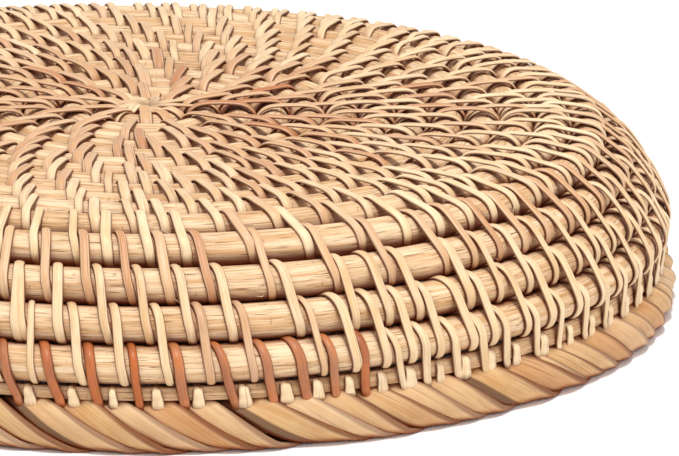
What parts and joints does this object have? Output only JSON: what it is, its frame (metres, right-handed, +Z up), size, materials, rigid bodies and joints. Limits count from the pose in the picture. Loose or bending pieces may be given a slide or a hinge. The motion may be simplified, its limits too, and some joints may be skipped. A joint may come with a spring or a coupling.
{
  "type": "round coiled rattan chair seat pad",
  "caption": "Round shallow seat pad coiled from rattan core, with a turned-down wall, a rope-like cane border as its foot and an open, braced hollow underneath.",
  "frame": {"origin": "centre of the footprint, on the plane the border rests on", "axes": "+Z up through the middle of the seat; X and Y lie in the resting plane, X along the upper pair of bearers"},
  "size_m": [0.3498, 0.3498, 0.0601],
  "materials": {
    "rattan_core": "bare rattan core, matt, fine lengthwise grain",
    "cane_border": "split cane skin, satin",
    "cane_binding": "split cane skin, satin",
    "edge_splint": "flat split rattan, matt",
    "rim_hoop": "bare rattan rod, matt",
    "bearer_pole": "bare rattan pole, matt"
  },
  "bodies": {
    "root": {"start_knot": "cane_binding", "core_cane_01": "rattan_core", "core_cane_02": "rattan_core", "core_cane_03": "rattan_core", "core_cane_04": "rattan_core", "core_cane_05": "rattan_core", "core_cane_06": "rattan_core", "core_cane_07": "rattan_core", "core_cane_08": "rattan_core", "core_cane_09": "rattan_core", "core_cane_10": "rattan_core", "core_cane_11": "rattan_core", "core_cane_12": "rattan_core", "edge_splint": "edge_splint", "rim_hoop": "rim_hoop", "border_wrap_1": "cane_border", "border_wrap_2": "cane_border", "border_wrap_3": "cane_border", "border_wrap_4": "cane_border", "border_wrap_5": "cane_border", "border_wrap_6": "cane_border", "border_wrap_7": "cane_border", "border_wrap_8": "cane_border", "bearer_top_1": "bearer_pole", "bearer_top_2": "bearer_pole", "bearer_low_1": "bearer_pole", "bearer_low_2": "bearer_pole", "lashing_1": "cane_binding", "lashing_2": "cane_binding", "lashing_3": "cane_binding", "lashing_4": "cane_binding"}
  },
  "joints": []
}
